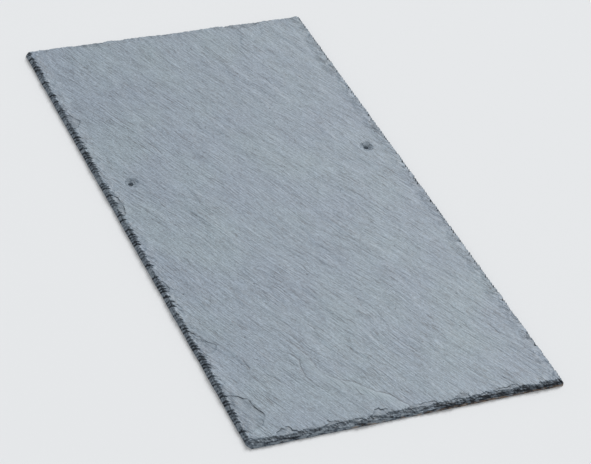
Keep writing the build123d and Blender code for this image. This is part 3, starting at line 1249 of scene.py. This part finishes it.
def stone_material(sheet, finish):
    """Split slate: a satin blue-grey face with a fine grain, and dark, layered, broken edges."""
    material = bpy.data.materials.new("riven_stone")
    material.use_nodes = True
    tree = material.node_tree
    tree.nodes.clear()
    start = Wire(tree)

    place = start.node("ShaderNodeTexCoord", None, None, "Object").scaled(1 / MM)
    known = {
        name: start.node("ShaderNodeAttribute", {"attribute_name": name}, None, "Fac")
        for name in ("wall", "leaf", "lip", "fresh", "broken", "riser", "notch")
    }
    speck = place.cloud((1.4, 1.4, 1.4), 43.0, 2.0, 0.6)
    mottle = place.cloud((1.5, 1.5, 1.5), 3.0)
    face_colour, face_height = face_finish(place, speck, known, sheet, finish)
    edge_colour, edge_height, shaded_tail = edge_finish(place, known, finish)

    # Where the stone is broken rather than weathered, with an uneven line between the two
    cut = known["wall"].at_least(known["fresh"] * 0.55)
    # The broken stone's colour also reaches further onto the face where the tail is painted in shade
    cut = cut.at_least(known["broken"] * (0.85 + shaded_tail * 0.6) - 0.05)
    edge = (cut + (mottle - 0.5) * 0.4).rise(0.30, 0.65)
    colour = face_colour.toward(edge_colour, edge).toward(finish.broken_colour, known["fresh"] * 0.3)
    height = face_height * (1 - edge) + edge_height * edge
    bump = start.node(
        "ShaderNodeBump", None, {"Strength": 1.0, "Distance": 1.0 * MM, "Height": height}, "Normal"
    )
    shader = start.node(
        "ShaderNodeBsdfPrincipled",
        None,
        {
            "Base Color": colour,
            "Roughness": (0.56 + (speck - 0.5) * 0.25 + edge * 0.24).at_least(0.3).at_most(0.9),
            "Normal": bump,
            "Specular IOR Level": 0.35,
        },
    )
    ending = tree.nodes.new("ShaderNodeOutputMaterial")
    tree.links.new(shader.socket, ending.inputs["Surface"])
    return material


class SLATE_OT_make_slate(bpy.types.Operator):
    """Build the slate with its broken edges, its riven face and its finish"""

    bl_idname = "slate.make_slate"
    bl_label = "Make slate"

    def execute(self, context):
        sheet = context.scene.slate_sheet
        stone = stone_material(sheet, context.scene.slate_finish)
        slate = bpy.data.objects.new("riven_slate", riven(plain_sheet(sheet), sheet, stone))
        context.scene.collection.objects.link(slate)
        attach(slate, "root")
        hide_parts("slate")
        return {"FINISHED"}


FLOOR_HALF = 6.0  # half the floor's width


def lay_floor(stage):
    """A plain, pale, matt square floor under the slate."""
    material = bpy.data.materials.new("pale_floor")
    material.use_nodes = True
    sockets = material.node_tree.nodes["Principled BSDF"].inputs
    sockets["Base Color"].default_value = (*stage.floor_colour, 1.0)
    sockets["Roughness"].default_value = 0.9
    sockets["Specular IOR Level"].default_value = 0.2
    floor_mesh = bpy.data.meshes.new("floor")
    corners = [
        (x * FLOOR_HALF, y * FLOOR_HALF, LOW.z) for x, y in ((-1, -1), (1, -1), (1, 1), (-1, 1))
    ]
    floor_mesh.from_pydata(corners, [], [(0, 1, 2, 3)])
    floor_mesh.materials.append(material)
    floor = bpy.data.objects.new("floor", floor_mesh)
    bpy.context.scene.collection.objects.link(floor)


def hang_lamps(stage):
    """Even light from all round, and a wide one from the right, beyond the head."""
    world = bpy.data.worlds.new("sky")
    world.use_nodes = True
    background = world.node_tree.nodes["Background"]
    background.inputs["Color"].default_value = (1.0, 1.0, 1.0, 1.0)
    background.inputs["Strength"].default_value = stage.sky_strength
    bpy.context.scene.world = world
    lamp = bpy.data.lights.new("key", "SUN")
    lamp.energy = stage.key_strength
    lamp.angle = stage.key_width
    key = bpy.data.objects.new("key", lamp)
    bpy.context.scene.collection.objects.link(key)
    key.rotation_euler = (-Vector(stage.key_from)).to_track_quat("-Z", "Y").to_euler()


PICTURE_WIDTH, PICTURE_HEIGHT = 591, 464  # in pixels
SENSOR_WIDTH = 36.0
FIRST_DISTANCE = 3.0  # where the camera starts before it is moved up
FRAMING_ROUNDS = 12


def place_camera(stage):
    """The camera on the photograph's line of sight, as near as the margin allows."""
    data = bpy.data.cameras.new("camera")
    data.lens = stage.lens
    data.sensor_width = SENSOR_WIDTH
    camera = bpy.data.objects.new("camera", data)
    bpy.context.scene.collection.objects.link(camera)
    bpy.context.scene.camera = camera
    flat = math.cos(stage.elevation)
    back = Vector(
        (math.sin(stage.azimuth) * flat, -math.cos(stage.azimuth) * flat, math.sin(stage.elevation))
    )
    turn = (-back).to_track_quat("-Z", "Y") @ Euler((0, 0, stage.roll)).to_quaternion()
    corners = [
        Vector((x, y, z)) for x in (LOW.x, HIGH.x) for y in (LOW.y, HIGH.y) for z in (LOW.z, HIGH.z)
    ]
    half_width = SENSOR_WIDTH / 2 / data.lens * (1 - 2 * stage.margin)
    half_height = half_width * PICTURE_HEIGHT / PICTURE_WIDTH
    aim, away = (LOW + HIGH) / 2, FIRST_DISTANCE
    for _ in range(FRAMING_ROUNDS):
        seen = [turn.inverted() @ (corner - aim - back * away) for corner in corners]
        across = [point.x / -point.z for point in seen]
        up = [point.y / -point.z for point in seen]
        centre = Vector((max(across) + min(across), max(up) + min(up), 0)) / 2 * away
        aim += turn @ centre
        fill = max((max(across) - min(across)) / half_width, (max(up) - min(up)) / half_height) / 2
        away *= fill
    camera.location = aim + back * away
    camera.rotation_mode = "QUATERNION"
    camera.rotation_quaternion = turn
    data.clip_end = 100.0


class SLATE_OT_make_stage(bpy.types.Operator):
    """Lay the floor, hang the lamps and place the camera"""

    bl_idname = "slate.make_stage"
    bl_label = "Make stage"

    def execute(self, context):
        stage = context.scene.slate_stage
        lay_floor(stage)
        hang_lamps(stage)
        place_camera(stage)
        context.scene.view_settings.view_transform = "Standard"
        return {"FINISHED"}


class SLATE_PT_slate(bpy.types.Panel):
    """The settings and buttons of the slate"""

    bl_idname = "SLATE_PT_slate"
    bl_label = "Riven slate"
    bl_space_type = "VIEW_3D"
    bl_region_type = "UI"
    bl_category = "Slate"

    def draw(self, context):
        for settings in ("slate_sheet", "slate_finish", "slate_stage"):
            group = getattr(context.scene, settings)
            box = self.layout.box()
            for name in group.__annotations__:
                box.prop(group, name)
        self.layout.operator(SLATE_OT_make_slate.bl_idname)
        self.layout.operator(SLATE_OT_make_stage.bl_idname)


CLASSES = (
    SlateSheet,
    SlateFinish,
    SlateStage,
    SLATE_OT_make_slate,
    SLATE_OT_make_stage,
    SLATE_PT_slate,
)


def register():
    for item in CLASSES:
        bpy.utils.register_class(item)
    bpy.types.Scene.slate_sheet = PointerProperty(type=SlateSheet)
    bpy.types.Scene.slate_finish = PointerProperty(type=SlateFinish)
    bpy.types.Scene.slate_stage = PointerProperty(type=SlateStage)


def unregister():
    del bpy.types.Scene.slate_sheet
    del bpy.types.Scene.slate_finish
    del bpy.types.Scene.slate_stage
    for item in reversed(CLASSES):
        bpy.utils.unregister_class(item)


def main():
    """Builds the slate and its stage."""
    register()
    bpy.ops.slate.make_slate()
    bpy.ops.slate.make_stage()


if __name__ == "__main__":
    main()
